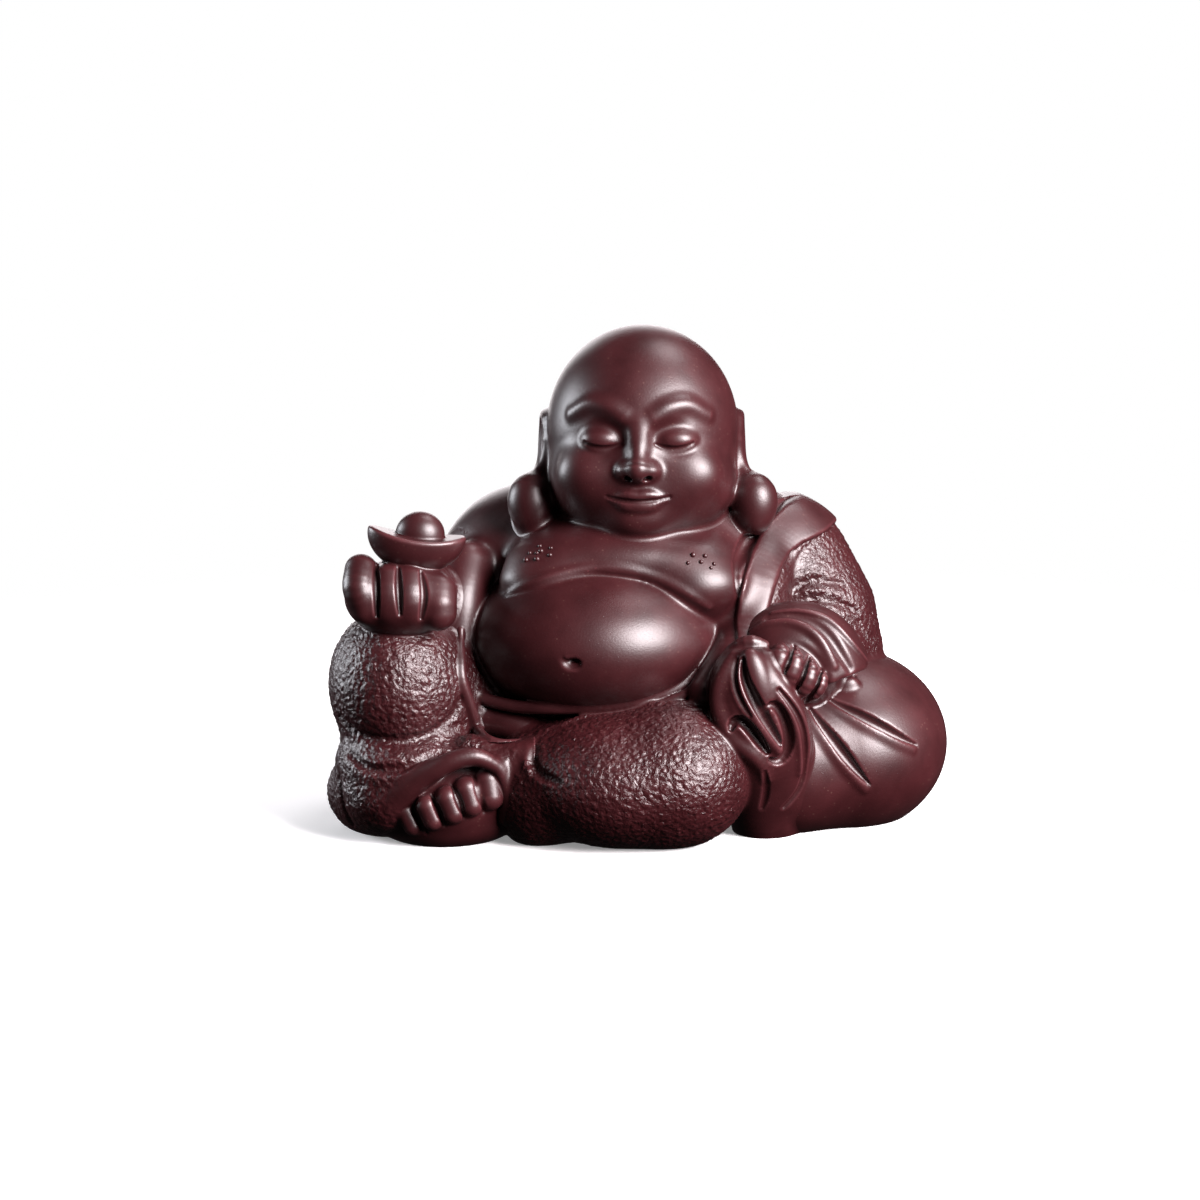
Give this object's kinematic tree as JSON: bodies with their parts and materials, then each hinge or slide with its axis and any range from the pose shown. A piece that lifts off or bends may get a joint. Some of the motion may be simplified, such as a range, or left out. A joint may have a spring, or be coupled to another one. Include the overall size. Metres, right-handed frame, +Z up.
{
  "type": "laughing buddha tea pet",
  "caption": "Seated pot-bellied monk figure in unglazed purple clay, with an ingot on the raised knee and a cloth sack at the side; a tea tray ornament to pour tea over.",
  "frame": {"origin": "middle of the base slab's underside, on the surface that the figure stands on", "axes": "+Z up, -Y to the figure's front, +X to the figure's left, where its sack lies"},
  "size_m": [0.1092, 0.076, 0.0865],
  "materials": {
    "purple_clay": "unglazed purple stoneware clay, burnished to a satin sheen by use, with fine mineral specks"
  },
  "bodies": {
    "root": {"base_slab": "purple_clay", "body_back": "purple_clay", "body_front": "purple_clay", "head": "purple_clay", "ingot": "purple_clay", "left_cuff": "purple_clay", "left_ear": "purple_clay", "left_hand": "purple_clay", "left_leg": "purple_clay", "left_sleeve": "purple_clay", "right_ear": "purple_clay", "right_foot": "purple_clay", "right_hand": "purple_clay", "right_leg": "purple_clay", "right_sleeve": "purple_clay", "robe_band": "purple_clay", "sack": "purple_clay", "sack_neck": "purple_clay", "waist_sash": "purple_clay"}
  },
  "joints": []
}
